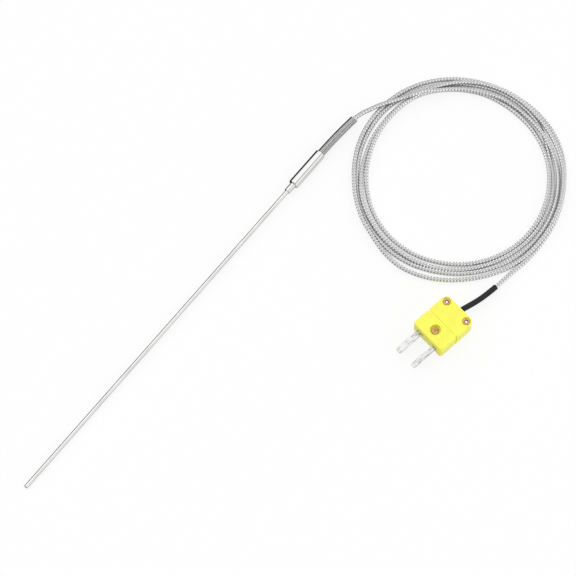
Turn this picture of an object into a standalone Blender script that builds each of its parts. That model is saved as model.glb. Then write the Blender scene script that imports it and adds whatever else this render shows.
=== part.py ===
"""A mineral-insulated thermocouple probe with a coiled braided lead and a flat-pin plug.

Metres, +Z up, lying on the plane z = 0. The probe's own pieces lie along +X, tip first, with the
origin under the middle of the probe.
"""

import math

import bmesh
import bpy
from mathutils import Matrix, Vector
from mathutils.geometry import interpolate_bezier

MM = 0.001

# Sheath: the closed stainless tube, its ceramic filling and the two wires in it.
SHEATH_DIAMETER = 1.5 * MM
SHEATH_WALL = 0.2 * MM
SHEATH_EXPOSED = 150.0 * MM
SHEATH_INSIDE_SLEEVE = 4.5 * MM
TIP_WALL = 0.4 * MM
TIP_ROUND = 0.3 * MM
WIRE_DIAMETER = 0.2 * MM
WIRE_SPREAD = 0.5 * MM
WIRE_TAIL = 2.2 * MM
JUNCTION_DIAMETER = 0.7 * MM

# Transition sleeve: a short neck, then the body that joins sheath and lead.
NECK_DIAMETER = 2.3 * MM
NECK_LENGTH = 3.6 * MM
SLEEVE_DIAMETER = 4.0 * MM
SLEEVE_LENGTH = 16.2 * MM
SLEEVE_FRONT_ROUND = 0.5 * MM
SLEEVE_REAR_CHAMFER = 0.2 * MM
SLEEVE_END_WALL = 1.4 * MM
SPLICE_DIAMETER = 0.42 * MM
SPLICE_LENGTH = 2.4 * MM

# Strain relief: a close-wound spring round the lead, gripped in the sleeve's rear end.
SPRING_DIAMETER = 3.1 * MM
SPRING_WIRE = 0.5 * MM
SPRING_PITCH = 0.56 * MM
SPRING_EXPOSED = 19.8 * MM
SPRING_GRIPPED = 3.0 * MM
SPRING_SIDE_BEND = 0.95 * MM

# Lead: a steel-braided cable, coiled flat.
CABLE_DIAMETER = 1.6 * MM
COIL_CENTRE = (100.4 * MM, -45.8 * MM)
COIL_INNER_RADIUS = 33.6 * MM
COIL_OUTER_RADIUS = 41.2 * MM
COIL_HEIGHT = 3.5 * MM
COIL_ROUND = 1.0 * MM
SHRINK_DIAMETER = 2.2 * MM
SHRINK_WALL = 0.15 * MM
SHRINK_LENGTH = 17.5 * MM

# Plug: two moulded shells, two flat pins, three rivets.
PLUG_CENTRE = (50.72 * MM, -78.96 * MM)
PLUG_HEADING = math.radians(172.0)
PLUG_LENGTH = 17.0 * MM
PLUG_WIDTH = 15.0 * MM
PLUG_THICKNESS = 7.0 * MM
PLUG_FRONT_ROUND = 0.9 * MM
PLUG_REAR_ROUND = 2.4 * MM
PLUG_EDGE_ROUND = 0.35 * MM
PLUG_WALL = 1.3 * MM
PLUG_FACE_WALL = 1.6 * MM
GROOVE_STATION = 0.6 * MM
GROOVE_WIDTH = 0.5 * MM
GROOVE_DEPTH = 0.25 * MM
NOTCH_WIDTH = 1.0 * MM
NOTCH_DEPTH = 0.5 * MM
NOTCH_FOOT = 1.2 * MM
PIN_PITCH = 7.9 * MM
PIN_THICKNESS = 0.8 * MM
POSITIVE_PIN_WIDTH = 2.0 * MM
NEGATIVE_PIN_WIDTH = 2.5 * MM
PIN_EXPOSED = 10.9 * MM
PIN_TAIL_LENGTH = 5.4 * MM
PIN_SHOULDER = 0.6 * MM
PIN_TIP_ROUND = 0.6 * MM
REAR_RIVET_STATION = 6.4 * MM
REAR_RIVET_SPREAD = 10.6 * MM
FRONT_RIVET_STATION = 4.35 * MM
RIVET_SHANK = 1.5 * MM
RIVET_HEAD_THICKNESS = 0.4 * MM
REAR_RIVET_HEAD = 2.5 * MM
REAR_RIVET_DIMPLE = 1.2 * MM
REAR_RIVET_DIMPLE_DEPTH = 0.9 * MM
REAR_RECESS = 3.2 * MM
REAR_RECESS_DEPTH = 0.8 * MM
FRONT_RIVET_HEAD = 2.8 * MM
FRONT_RECESS = 4.1 * MM
FRONT_RECESS_DEPTH = 1.5 * MM
BOSS_WALL = 1.2 * MM
CROSS_BAY_LENGTH = 3.4 * MM
PLUG_LEAD_DIAMETER = 0.6 * MM
PLUG_LEAD_ON_PIN = 2.3 * MM
CABLE_INSIDE_PLUG = 2.9 * MM
SHRINK_INSIDE_PLUG = 1.0 * MM

# Clearances.
FINE_GAP = 0.03 * MM
CLOSE_GAP = 0.05 * MM
PART_GAP = 0.1 * MM
LEAD_GAP = 0.3 * MM
OVERCUT = 1.0 * MM
WELD_DISTANCE = 1e-7

# Values that follow from the sizes above.
SHEATH_RADIUS = SHEATH_DIAMETER / 2
SHEATH_BORE_RADIUS = SHEATH_RADIUS - SHEATH_WALL
CORE_RADIUS = SHEATH_BORE_RADIUS - FINE_GAP
SHEATH_END = SHEATH_EXPOSED + NECK_LENGTH + SLEEVE_END_WALL + SHEATH_INSIDE_SLEEVE
CORE_START = TIP_WALL + JUNCTION_DIAMETER + 3 * CLOSE_GAP
NECK_START = SHEATH_EXPOSED
SLEEVE_START = NECK_START + NECK_LENGTH
SLEEVE_END = SLEEVE_START + SLEEVE_LENGTH
SLEEVE_BORE_START = SLEEVE_START + SLEEVE_END_WALL
SLEEVE_BORE_RADIUS = SPRING_DIAMETER / 2 + CLOSE_GAP
SPRING_START = SLEEVE_END - SPRING_GRIPPED
PROBE_LENGTH = SLEEVE_END + SPRING_EXPOSED
WIRE_END = SHEATH_END + WIRE_TAIL
SPLICE_START = WIRE_END - SPLICE_LENGTH / 2
SPLICE_END = SPLICE_START + SPLICE_LENGTH
CABLE_START = SPLICE_END + PART_GAP + CLOSE_GAP
POTTING_END = SPRING_START - PART_GAP
TILT = math.asin((SLEEVE_DIAMETER / 2 - SHEATH_RADIUS) / (SLEEVE_START + SLEEVE_FRONT_ROUND))
PLUG_MIDDLE = PLUG_THICKNESS / 2
PLUG_HALF = PLUG_LENGTH / 2
PLUG_SIDE = PLUG_WIDTH / 2
BOSS_SIDE = RIVET_SHANK / 2 + PART_GAP + BOSS_WALL
CROSS_BAY_FRONT = FRONT_RIVET_STATION - BOSS_SIDE
CROSS_BAY_REAR = CROSS_BAY_FRONT - CROSS_BAY_LENGTH
SMOOTH_ANGLE = math.radians(35.0)
CORD_RESOLUTION = 2
SHRINK_RESOLUTION = 4
ROUTE_SPACING = 4.5 * MM
SPRING_STEPS = 10
COIL_SIDES = 48
POLES = (("positive", 1), ("negative", -1))
PIN_WIDTHS = {"positive": POSITIVE_PIN_WIDTH, "negative": NEGATIVE_PIN_WIDTH}
SIDES = (("left", -1), ("right", 1))


def clear_scene():
    """Empties the scene, so that a second run starts from nothing."""
    for old in list(bpy.data.objects):
        bpy.data.objects.remove(old, do_unlink=True)


def finish(name, colour, roughness, metallic):
    """A plain shader in one colour, given as linear red, green and blue."""
    made = bpy.data.materials.new(name)
    made.use_nodes = True
    made.diffuse_color = (*colour, 1.0)
    shader = made.node_tree.nodes["Principled BSDF"]
    shader.inputs["Base Color"].default_value = (*colour, 1.0)
    shader.inputs["Roughness"].default_value = roughness
    shader.inputs["Metallic"].default_value = metallic
    return made


def empty(name, place, turn):
    """An empty that carries the pieces of one group."""
    made = bpy.data.objects.new(name, None)
    made.location = place
    made.rotation_euler = turn
    bpy.context.scene.collection.objects.link(made)
    return made


def put(name, data, look, parent):
    """Links a mesh or a curve into the scene with its material and its parent."""
    made = bpy.data.objects.new(name, data)
    data.materials.append(look)
    made.parent = parent
    bpy.context.scene.collection.objects.link(made)
    return made


def mesh_from(name, shape):
    """Turns a bmesh into a mesh with its normals outside."""
    bmesh.ops.recalc_face_normals(shape, faces=shape.faces)
    mesh = bpy.data.meshes.new(name)
    shape.to_mesh(mesh)
    shape.free()
    return mesh


def turned_mesh(name, outline, sides, upright=False, offset=(0.0, 0.0, 0.0)):
    """Spins the (station, radius) points of half a section round +X, or round +Z if upright."""
    shape = bmesh.new()
    section = [shape.verts.new((station, 0.0, -radius)) for station, radius in outline]
    rim = [shape.edges.new(pair) for pair in zip(section, section[1:])]
    if outline[0][1] > 0.0:
        rim.append(shape.edges.new((section[-1], section[0])))
    bmesh.ops.spin(
        shape, geom=section + rim, axis=(1, 0, 0), cent=(0, 0, 0), angle=math.tau, steps=sides
    )
    bmesh.ops.remove_doubles(shape, verts=shape.verts, dist=WELD_DISTANCE)
    if upright:
        shape.transform(Matrix.Rotation(-math.pi / 2, 4, "Y"))
    shape.transform(Matrix.Translation(offset))
    mesh = mesh_from(name, shape)
    mesh.shade_smooth()
    mesh.set_sharp_from_angle(angle=SMOOTH_ANGLE)
    return mesh


def turned(name, outline, look, parent, sides=24, upright=False, offset=(0.0, 0.0, 0.0)):
    return put(name, turned_mesh(name, outline, sides, upright, offset), look, parent)


def arc(centre, radius, start, end, steps):
    """Points of an arc in a plane, from one angle in degrees to another."""
    angles = [math.radians(start + (end - start) * step / steps) for step in range(steps + 1)]
    return [
        (centre[0] + radius * math.cos(angle), centre[1] + radius * math.sin(angle))
        for angle in angles
    ]


def bar_outline(start, end, radius):
    """Half a section of a plain round bar."""
    return [(start, 0.0), (start, radius), (end, radius), (end, 0.0)]


def prism_mesh(name, outline, low, high, rounded_face=None, edge_round=0.0):
    """Extrudes a flat outline from one height to another and can round one face's edge."""
    shape = bmesh.new()
    base = shape.faces.new([shape.verts.new((x, y, low)) for x, y in outline])
    moved = bmesh.ops.extrude_face_region(shape, geom=[base])["geom"]
    lifted = [item for item in moved if isinstance(item, bmesh.types.BMVert)]
    bmesh.ops.translate(shape, verts=lifted, vec=(0, 0, high - low))
    if rounded_face is not None:
        rim = [
            edge
            for edge in shape.edges
            if all(abs(vert.co.z - rounded_face) < WELD_DISTANCE for vert in edge.verts)
        ]
        bmesh.ops.bevel(shape, geom=rim, offset=edge_round, segments=2, profile=0.5, affect="EDGES")
    return mesh_from(name, shape)


def box_outline(low, high):
    return [(low[0], low[1]), (high[0], low[1]), (high[0], high[1]), (low[0], high[1])]


def cut(target, name, mesh, parent):
    """Takes one helper shape away from a piece."""
    helper = bpy.data.objects.new(name, mesh)
    helper.parent = parent
    helper.hide_render = True
    helper.display_type = "WIRE"
    bpy.context.scene.collection.objects.link(helper)
    modifier = target.modifiers.new(name, "BOOLEAN")
    modifier.operation = "DIFFERENCE"
    modifier.solver = "EXACT"
    modifier.object = helper


def smooth_route(route, spacing):
    """Evenly spaced points on a smooth curve through the route's own points."""
    points = [Vector(point) for point in route]
    dense = [points[0]]
    for index in range(len(points) - 1):
        before = points[max(index - 1, 0)]
        start, end = points[index], points[index + 1]
        after = points[min(index + 2, len(points) - 1)]
        leave = start + (end - before) / 6
        arrive = end - (after - start) / 6
        dense += interpolate_bezier(start, leave, arrive, end, 24)[1:]
    length = sum((b - a).length for a, b in zip(dense, dense[1:]))
    step = length / max(1, round(length / spacing))
    spaced = [dense[0]]
    walked = 0.0
    for a, b in zip(dense, dense[1:]):
        span = (b - a).length
        while walked + span >= step * len(spaced) and step * (len(spaced) + 0.5) < length:
            spaced.append(a.lerp(b, (step * len(spaced) - walked) / span))
        walked += span
    return spaced + [dense[-1]]


def tube(name, points, diameter, resolution, look, parent=None, capped=True):
    """A round tube along points, as a curve with a bevel."""
    curve = bpy.data.curves.new(name, "CURVE")
    curve.dimensions = "3D"
    curve.bevel_depth = diameter / 2
    curve.bevel_resolution = resolution
    curve.use_fill_caps = capped
    spline = curve.splines.new("POLY")
    spline.points.add(len(points) - 1)
    for target, point in zip(spline.points, points):
        target.co = (*point, 1.0)
    return put(name, curve, look, parent)


def build_finishes():
    return {
        "steel": finish("bright_drawn_steel", (0.62, 0.62, 0.61), 0.22, 1.0),
        "spring": finish("dark_spring_steel", (0.22, 0.22, 0.23), 0.32, 1.0),
        "braid": finish("woven_steel_braid", (0.52, 0.52, 0.52), 0.45, 1.0),
        "oxide": finish("packed_white_oxide", (0.82, 0.81, 0.76), 0.9, 0.0),
        "alloy": finish("nickel_alloy_wire", (0.48, 0.45, 0.41), 0.35, 1.0),
        "resin": finish("cast_resin", (0.25, 0.2, 0.12), 0.5, 0.0),
        "shrink": finish("black_shrink_sleeve", (0.012, 0.012, 0.013), 0.5, 0.0),
        "nylon": finish("yellow_moulded_nylon", (0.93, 0.86, 0.06), 0.42, 0.0),
        "brass": finish("rolled_brass", (0.6, 0.34, 0.15), 0.35, 1.0),
        "insulation": finish("woven_glass_insulation", (0.75, 0.7, 0.45), 0.8, 0.0),
    }


def build_sheath(looks, probe):
    """The closed tube with a blunt tip, and what fills it."""
    tip = [(0.0, 0.0), *arc((TIP_ROUND, SHEATH_RADIUS - TIP_ROUND), TIP_ROUND, 180, 90, 3)]
    bore = [
        (SHEATH_END, SHEATH_RADIUS),
        (SHEATH_END, SHEATH_BORE_RADIUS),
        (TIP_WALL, SHEATH_BORE_RADIUS),
        (TIP_WALL, 0.0),
    ]
    turned("sheath", tip + bore, looks["steel"], probe)
    core_outline = bar_outline(CORE_START, SHEATH_END - CLOSE_GAP, CORE_RADIUS)
    core = turned("magnesia_core", core_outline, looks["oxide"], probe, sides=16)
    bore = bar_outline(CORE_START - LEAD_GAP, SHEATH_END + LEAD_GAP, WIRE_DIAMETER / 2 + FINE_GAP)
    wire = bar_outline(CORE_START - CLOSE_GAP, WIRE_END, WIRE_DIAMETER / 2)
    for name, side in POLES:
        offset = (0.0, side * WIRE_SPREAD / 2, 0.0)
        cut(core, f"{name}_wire_bore", turned_mesh("wire_bore", bore, 10, offset=offset), probe)
        turned(f"{name}_wire", wire, looks["alloy"], probe, 8, offset=offset)
    radius = JUNCTION_DIAMETER / 2
    middle = TIP_WALL + CLOSE_GAP + radius
    bead = [(x, max(y, 0.0)) for x, y in arc((middle, 0.0), radius, 180, 0, 8)]
    turned("measuring_junction", bead, looks["alloy"], probe, sides=12)


def build_sleeve(looks, probe):
    """The transition sleeve, its resin and the two splices in it."""
    neck_radius = NECK_DIAMETER / 2
    body_radius = SLEEVE_DIAMETER / 2
    bore_radius = SHEATH_RADIUS + CLOSE_GAP
    step = arc(
        (SLEEVE_START + SLEEVE_FRONT_ROUND, body_radius - SLEEVE_FRONT_ROUND),
        SLEEVE_FRONT_ROUND,
        180,
        90,
        4,
    )
    outline = [
        (NECK_START, bore_radius),
        (NECK_START, neck_radius - SLEEVE_REAR_CHAMFER),
        (NECK_START + SLEEVE_REAR_CHAMFER, neck_radius),
        (SLEEVE_START, neck_radius),
        *step,
        (SLEEVE_END - SLEEVE_REAR_CHAMFER, body_radius),
        (SLEEVE_END, body_radius - SLEEVE_REAR_CHAMFER),
        (SLEEVE_END, SLEEVE_BORE_RADIUS),
        (SLEEVE_BORE_START, SLEEVE_BORE_RADIUS),
        (SLEEVE_BORE_START, bore_radius),
    ]
    turned("transition_sleeve", outline, looks["steel"], probe, sides=32)

    resin_radius = SLEEVE_BORE_RADIUS - FINE_GAP
    resin_start = SLEEVE_BORE_START + CLOSE_GAP
    resin_outline = [
        (resin_start, SHEATH_RADIUS + CLOSE_GAP),
        (resin_start, resin_radius),
        (POTTING_END, resin_radius),
        (POTTING_END, CABLE_DIAMETER / 2 + PART_GAP),
        (CABLE_START - PART_GAP, CABLE_DIAMETER / 2 + PART_GAP),
        (CABLE_START - PART_GAP, SHEATH_RADIUS + CLOSE_GAP),
    ]
    turned("sleeve_potting", resin_outline, looks["resin"], probe, sides=24)
    wire_hole = WIRE_DIAMETER / 2 + FINE_GAP
    for name, side in POLES:
        barrel = [
            (SPLICE_START, wire_hole),
            (SPLICE_START, SPLICE_DIAMETER / 2),
            (SPLICE_END, SPLICE_DIAMETER / 2),
            (SPLICE_END, wire_hole),
        ]
        offset = (0.0, side * WIRE_SPREAD / 2, 0.0)
        turned(f"{name}_splice", barrel, looks["brass"], probe, 12, offset=offset)


def spring_axis(distance):
    """Centre of the spring and of the lead in it, by distance from the sleeve's rear face."""
    beyond = max(0.0, distance) / SPRING_EXPOSED
    return Vector((SLEEVE_END + distance, -SPRING_SIDE_BEND * beyond**2, 0.0))


def build_spring(looks, probe):
    """The close-wound spring, which bends a little to one side past the sleeve."""
    turns = int((SPRING_GRIPPED + SPRING_EXPOSED - SPRING_WIRE) / SPRING_PITCH)
    radius = (SPRING_DIAMETER - SPRING_WIRE) / 2
    points = []
    for index in range(turns * SPRING_STEPS + 1):
        along = SPRING_WIRE / 2 + SPRING_PITCH * index / SPRING_STEPS - SPRING_GRIPPED
        angle = math.tau * index / SPRING_STEPS
        across = Vector((0.0, radius * math.cos(angle), radius * math.sin(angle)))
        points.append(spring_axis(along) + across)
    tube("strain_relief_spring", points, SPRING_WIRE, 1, looks["spring"], probe)


def build_cable(looks, probe):
    """The lead from the sleeve through the spring to the coil, and the coil's outer shape."""
    bpy.context.view_layer.update()
    straight = [
        Vector((CABLE_START, 0.0, 0.0)),
        Vector((SPRING_START, 0.0, 0.0)),
        *[spring_axis(SPRING_EXPOSED * share) for share in (0.0, 0.25, 0.5, 0.75, 1.0)],
    ]
    lead_in = [probe.matrix_world @ point for point in straight]
    lead_in += [
        Vector((97.8, -1.75, 2.3)) * MM,
        Vector((100.55, -2.95, 2.3)) * MM,
        Vector((103.1, -4.1, 2.4)) * MM,
    ]
    points = smooth_route(lead_in, ROUTE_SPACING)
    tube("cable_lead_in", points, CABLE_DIAMETER, CORD_RESOLUTION, looks["braid"])

    ring = [
        (0.0, COIL_INNER_RADIUS + COIL_ROUND),
        (COIL_ROUND, COIL_INNER_RADIUS),
        (COIL_HEIGHT - COIL_ROUND, COIL_INNER_RADIUS),
        (COIL_HEIGHT, COIL_INNER_RADIUS + COIL_ROUND),
        (COIL_HEIGHT, COIL_OUTER_RADIUS - COIL_ROUND),
        (COIL_HEIGHT - COIL_ROUND, COIL_OUTER_RADIUS),
        (COIL_ROUND, COIL_OUTER_RADIUS),
        (0.0, COIL_OUTER_RADIUS - COIL_ROUND),
    ]
    coil = turned("cable_coil", ring, looks["braid"], None, COIL_SIDES, upright=True)
    coil.location = (*COIL_CENTRE, 0.0)


def build_plug_cable(looks, plug):
    """The lead from the coil into the plug, with a shrink sleeve over its end."""
    bpy.context.view_layer.update()
    entry = (-PLUG_HALF - LEAD_GAP, -PLUG_HALF + SHRINK_INSIDE_PLUG, -PLUG_HALF + CABLE_INSIDE_PLUG)
    lead_out = [
        Vector((84.05, -85.05, 1.1)) * MM,
        Vector((80.65, -84.7, 1.4)) * MM,
        Vector((76.6, -84.25, 1.8)) * MM,
        Vector((72.4, -83.65, 2.2)) * MM,
        Vector((68.25, -82.85, 2.5)) * MM,
        Vector((64.35, -81.75, 2.8)) * MM,
        *[plug.matrix_world @ Vector((station, 0.0, PLUG_MIDDLE)) for station in entry],
    ]
    points = smooth_route(lead_out, ROUTE_SPACING / 2)
    tube("cable_lead_out", points, CABLE_DIAMETER, CORD_RESOLUTION, looks["braid"])
    face = plug.matrix_world @ Vector((entry[1], 0.0, PLUG_MIDDLE))
    nearest = [(point - face).length for point in points]
    last = nearest.index(min(nearest))
    first = last - round((SHRINK_LENGTH + SHRINK_INSIDE_PLUG) / (points[1] - points[0]).length)
    covered = points[first : last + 1]
    shrink = tube(
        "heat_shrink", covered, SHRINK_DIAMETER, SHRINK_RESOLUTION, looks["shrink"], capped=False
    )
    wall = shrink.modifiers.new("wall", "SOLIDIFY")
    wall.thickness = SHRINK_WALL
    wall.offset = -1.0
    wall.use_even_offset = False


def plug_outline():
    """The plug's plan: square front corners with a small radius, round rear corners."""
    corners = (
        ((PLUG_HALF - PLUG_FRONT_ROUND, PLUG_SIDE - PLUG_FRONT_ROUND), PLUG_FRONT_ROUND, 0, 3),
        ((-PLUG_HALF + PLUG_REAR_ROUND, PLUG_SIDE - PLUG_REAR_ROUND), PLUG_REAR_ROUND, 90, 6),
        ((-PLUG_HALF + PLUG_REAR_ROUND, -PLUG_SIDE + PLUG_REAR_ROUND), PLUG_REAR_ROUND, 180, 6),
        ((PLUG_HALF - PLUG_FRONT_ROUND, -PLUG_SIDE + PLUG_FRONT_ROUND), PLUG_FRONT_ROUND, 270, 3),
    )
    outline = []
    for centre, radius, start, steps in corners:
        outline += arc(centre, radius, start, start + 90, steps)
    return outline


def build_shells(looks, plug):
    """Two moulded halves that meet at mid-height, hollow round the pin tails and the lead."""
    upper_mesh = prism_mesh(
        "upper_shell",
        plug_outline(),
        PLUG_MIDDLE + CLOSE_GAP / 2,
        PLUG_THICKNESS,
        PLUG_THICKNESS,
        PLUG_EDGE_ROUND,
    )
    lower_mesh = prism_mesh(
        "lower_shell", plug_outline(), 0.0, PLUG_MIDDLE - CLOSE_GAP / 2, 0.0, PLUG_EDGE_ROUND
    )
    upper = put("upper_shell", upper_mesh, looks["nylon"], plug)
    lower = put("lower_shell", lower_mesh, looks["nylon"], plug)

    bay_low = PLUG_FACE_WALL
    bay_high = PLUG_THICKNESS - PLUG_FACE_WALL
    front = PLUG_HALF - PLUG_WALL
    bay_side = PIN_PITCH / 2 + NEGATIVE_PIN_WIDTH / 2 + PIN_SHOULDER + PART_GAP
    cable_bay = box_outline((-PLUG_HALF + PLUG_WALL, -BOSS_SIDE), (CROSS_BAY_REAR + OVERCUT, BOSS_SIDE))
    cross_bay = box_outline((CROSS_BAY_REAR, -bay_side), (CROSS_BAY_FRONT, bay_side))
    bays = [("cable_bay", cable_bay), ("cross_bay", cross_bay)]
    for name, side in POLES:
        inner = min(side * BOSS_SIDE, side * bay_side)
        outer = max(side * BOSS_SIDE, side * bay_side)
        bays.append((f"{name}_bay", box_outline((CROSS_BAY_REAR, inner), (front, outer))))
    slots = []
    for name, side in POLES:
        half = PIN_WIDTHS[name] / 2 + PART_GAP
        middle = side * PIN_PITCH / 2
        inner = (front - OVERCUT, middle - half)
        outline = box_outline(inner, (PLUG_HALF + OVERCUT, middle + half))
        slots.append((f"{name}_slot", outline))
    pin_half = PIN_THICKNESS / 2 + PART_GAP
    groove_rear = GROOVE_STATION - GROOVE_WIDTH / 2
    groove_front = GROOVE_STATION + GROOVE_WIDTH / 2
    groove = box_outline((groove_rear, -PLUG_WIDTH), (groove_front, PLUG_WIDTH))
    notch_rear = GROOVE_STATION - NOTCH_WIDTH / 2
    notch_front = GROOVE_STATION + NOTCH_WIDTH / 2
    entry_outline = bar_outline(
        -PLUG_HALF - OVERCUT, -PLUG_HALF + PLUG_WALL + OVERCUT, SHRINK_DIAMETER / 2 + PART_GAP
    )
    for shell in (upper, lower):
        label = shell.name
        for name, outline in bays:
            cut(shell, f"{label}_{name}", prism_mesh(name, outline, bay_low, bay_high), plug)
        for name, outline in slots:
            mesh = prism_mesh(name, outline, PLUG_MIDDLE - pin_half, PLUG_MIDDLE + pin_half)
            cut(shell, f"{label}_{name}", mesh, plug)
        entry = turned_mesh("entry", entry_outline, 20, offset=(0.0, 0.0, PLUG_MIDDLE))
        cut(shell, f"{label}_entry", entry, plug)
        for name, side in SIDES:
            reach = (side * (PLUG_SIDE - NOTCH_DEPTH), side * (PLUG_SIDE + OVERCUT))
            notch = box_outline((notch_rear, min(reach)), (notch_front, max(reach)))
            mesh = prism_mesh("notch", notch, NOTCH_FOOT, PLUG_THICKNESS + OVERCUT)
            cut(shell, f"{label}_{name}_notch", mesh, plug)
        for name, place, _, recess, depth in rivet_places():
            hole = [
                (-OVERCUT, 0.0),
                (-OVERCUT, recess / 2),
                (depth, recess / 2),
                (depth, RIVET_SHANK / 2 + PART_GAP),
                (PLUG_THICKNESS - depth, RIVET_SHANK / 2 + PART_GAP),
                (PLUG_THICKNESS - depth, recess / 2),
                (PLUG_THICKNESS + OVERCUT, recess / 2),
                (PLUG_THICKNESS + OVERCUT, 0.0),
            ]
            mesh = turned_mesh("rivet_hole", hole, 24, upright=True, offset=(*place, 0.0))
            cut(shell, f"{label}_{name}_hole", mesh, plug)
    top_groove = prism_mesh("groove", groove, PLUG_THICKNESS - GROOVE_DEPTH, PLUG_THICKNESS + OVERCUT)
    cut(upper, "upper_groove", top_groove, plug)


def rivet_places():
    """Name, place, head diameter, recess diameter and recess depth of each rivet."""
    places = [
        (
            f"rear_rivet_{name}",
            (-REAR_RIVET_STATION, side * REAR_RIVET_SPREAD / 2),
            REAR_RIVET_HEAD,
            REAR_RECESS,
            REAR_RECESS_DEPTH,
        )
        for name, side in SIDES
    ]
    front = (FRONT_RIVET_STATION, 0.0)
    places.append(("front_rivet", front, FRONT_RIVET_HEAD, FRONT_RECESS, FRONT_RECESS_DEPTH))
    return places


def build_rivets(looks, plug):
    """Tubular rivets at the rear corners and a solid one at the front, heads down in their recesses."""
    for name, place, head, _, depth in rivet_places():
        low_seat = depth - PART_GAP
        high_seat = PLUG_THICKNESS - depth + PART_GAP
        top = high_seat + RIVET_HEAD_THICKNESS
        outline = [
            (low_seat - RIVET_HEAD_THICKNESS, 0.0),
            (low_seat - RIVET_HEAD_THICKNESS, head / 2),
            (low_seat, head / 2),
            (low_seat, RIVET_SHANK / 2),
            (high_seat, RIVET_SHANK / 2),
            (high_seat, head / 2),
            (top - RIVET_HEAD_THICKNESS / 2, head / 2),
            (top, head / 2 - RIVET_HEAD_THICKNESS / 2),
        ]
        if name == "front_rivet":
            outline.append((top, 0.0))
        else:
            outline += [
                (top, REAR_RIVET_DIMPLE / 2),
                (top - REAR_RIVET_DIMPLE_DEPTH, REAR_RIVET_DIMPLE / 2),
                (top - REAR_RIVET_DIMPLE_DEPTH, 0.0),
            ]
        turned(name, outline, looks["brass"], plug, sides=20, upright=True, offset=(*place, 0.0))


def build_pins(looks, plug):
    """Flat blades with a wider tail that is trapped behind the front wall, and the wires to them."""
    front = PLUG_HALF - PLUG_WALL - PART_GAP
    for name, side in POLES:
        middle = side * PIN_PITCH / 2
        blade = PIN_WIDTHS[name] / 2
        tail = blade + PIN_SHOULDER
        tip = PLUG_HALF + PIN_EXPOSED
        rear = front - PIN_TAIL_LENGTH
        corner = tip - PIN_TIP_ROUND
        outline = [(rear, middle - tail), (front, middle - tail), (front, middle - blade)]
        outline += arc((corner, middle - blade + PIN_TIP_ROUND), PIN_TIP_ROUND, 270, 360, 4)
        outline += arc((corner, middle + blade - PIN_TIP_ROUND), PIN_TIP_ROUND, 0, 90, 4)
        outline += [(front, middle + blade), (front, middle + tail), (rear, middle + tail)]
        low = PLUG_MIDDLE - PIN_THICKNESS / 2
        mesh = prism_mesh(f"{name}_pin", outline, low, low + PIN_THICKNESS)
        put(f"{name}_pin", mesh, looks["steel"], plug)

        lead_radius = PLUG_LEAD_DIAMETER / 2
        height = PLUG_MIDDLE + PIN_THICKNESS / 2 + CLOSE_GAP + lead_radius
        start = -PLUG_HALF + CABLE_INSIDE_PLUG + PART_GAP
        apart = side * (lead_radius + PART_GAP)
        beside_boss = side * (BOSS_SIDE - lead_radius - PART_GAP)
        route = [
            (start, apart, PLUG_MIDDLE),
            ((start + CROSS_BAY_REAR) / 2, (apart + beside_boss) / 2, (PLUG_MIDDLE + height) / 2),
            (CROSS_BAY_REAR, beside_boss, height),
            (rear - PLUG_LEAD_DIAMETER, (beside_boss + middle) / 2, height),
            (rear + PLUG_LEAD_DIAMETER, middle, height),
            (rear + PLUG_LEAD_ON_PIN, middle, height),
        ]
        points = smooth_route(route, PLUG_LEAD_DIAMETER)
        tube(f"{name}_lead", points, PLUG_LEAD_DIAMETER, CORD_RESOLUTION, looks["insulation"], plug)


def main():
    clear_scene()
    looks = build_finishes()
    probe = empty("probe_axis", (-PROBE_LENGTH / 2, 0.0, SHEATH_RADIUS), (0.0, -TILT, 0.0))
    plug = empty("plug_axis", (*PLUG_CENTRE, 0.0), (0.0, 0.0, PLUG_HEADING))
    build_sheath(looks, probe)
    build_sleeve(looks, probe)
    build_spring(looks, probe)
    build_cable(looks, probe)
    build_plug_cable(looks, plug)
    build_shells(looks, plug)
    build_pins(looks, plug)
    build_rivets(looks, plug)


main()
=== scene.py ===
"""Looks for a mineral-insulated thermocouple probe with a coiled braided lead and a flat-pin plug."""

import math

import bmesh
import bpy
from bpy.props import FloatProperty, FloatVectorProperty, IntProperty, PointerProperty
from mathutils import Matrix, Vector


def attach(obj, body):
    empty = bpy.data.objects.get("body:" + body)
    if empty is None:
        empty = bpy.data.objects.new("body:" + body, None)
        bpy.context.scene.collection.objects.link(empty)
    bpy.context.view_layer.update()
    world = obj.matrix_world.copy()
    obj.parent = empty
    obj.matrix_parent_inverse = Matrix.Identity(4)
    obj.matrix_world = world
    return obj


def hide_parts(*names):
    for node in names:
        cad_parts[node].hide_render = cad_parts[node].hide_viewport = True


bl_info = {
    "name": "Thermocouple probe",
    "version": (1, 0, 0),
    "blender": (4, 5, 0),
    "location": "View3D > Sidebar > Probe",
    "description": "Builds the probe's visible pieces over its CAD frame, and the stage round it",
    "category": "Object",
}

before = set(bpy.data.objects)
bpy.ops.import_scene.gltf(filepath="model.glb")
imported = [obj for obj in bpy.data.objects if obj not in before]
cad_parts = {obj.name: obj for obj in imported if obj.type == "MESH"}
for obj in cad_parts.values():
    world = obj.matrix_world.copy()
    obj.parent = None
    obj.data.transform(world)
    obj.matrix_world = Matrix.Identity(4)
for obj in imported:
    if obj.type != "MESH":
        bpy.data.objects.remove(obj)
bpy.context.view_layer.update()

MM = 0.001

# Camera, in the photograph's place: it looks at a point on the floor, from a turn and a rise.
CAMERA_TARGET = Vector((26.34, -24.35, 0.0)) * MM
CAMERA_TURN = math.radians(-50.41)
CAMERA_RISE = math.radians(70.0)
CAMERA_DISTANCE = 1.5
SENSOR_WIDTH = 36.0
PICTURE_WIDTH = 576
MM_PER_PIXEL = 0.3725

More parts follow.
